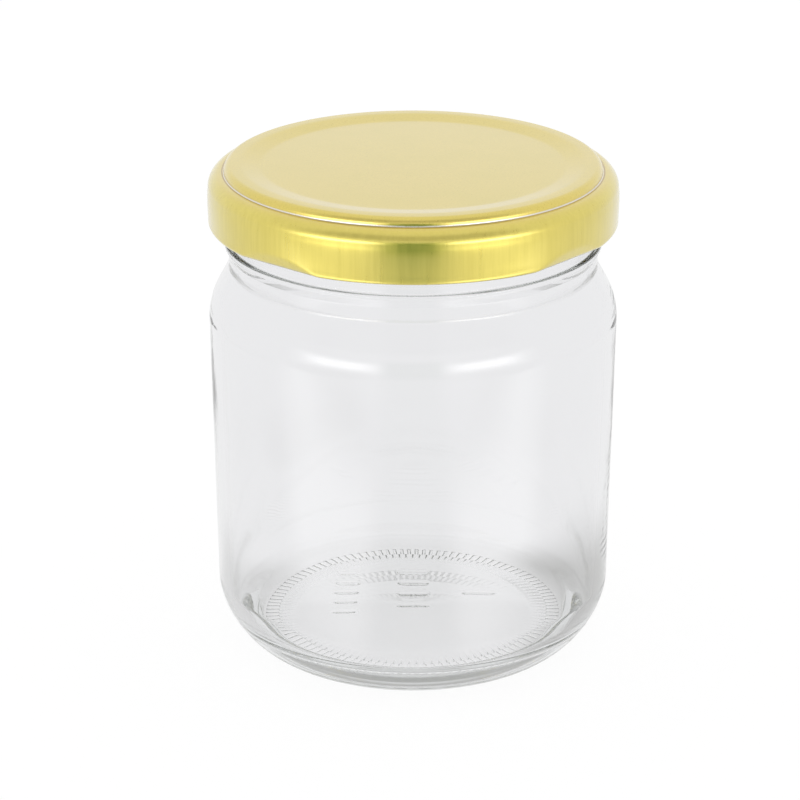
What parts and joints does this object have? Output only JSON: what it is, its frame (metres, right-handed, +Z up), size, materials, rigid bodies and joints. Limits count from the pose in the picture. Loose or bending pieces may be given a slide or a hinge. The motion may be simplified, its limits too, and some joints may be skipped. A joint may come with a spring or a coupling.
{
  "type": "glass jar",
  "caption": "Empty clear glass food jar with rounded heel and shoulder, short neck, ribbed foot ring and a gold metal lug twist-off lid with a sunk panel.",
  "frame": {"origin": "centre of the surface that the jar stands on", "axes": "+Z up along the axis of the jar, -Y towards the front, +X to the right seen from the front"},
  "size_m": [0.0692, 0.0692, 0.0855],
  "materials": {
    "glass": "clear colourless glass, smooth and shiny",
    "lid_metal": "gold lacquer over tinplate, satin sheen"
  },
  "bodies": {
    "root": {"jar": "glass", "lid": "lid_metal"}
  },
  "joints": []
}
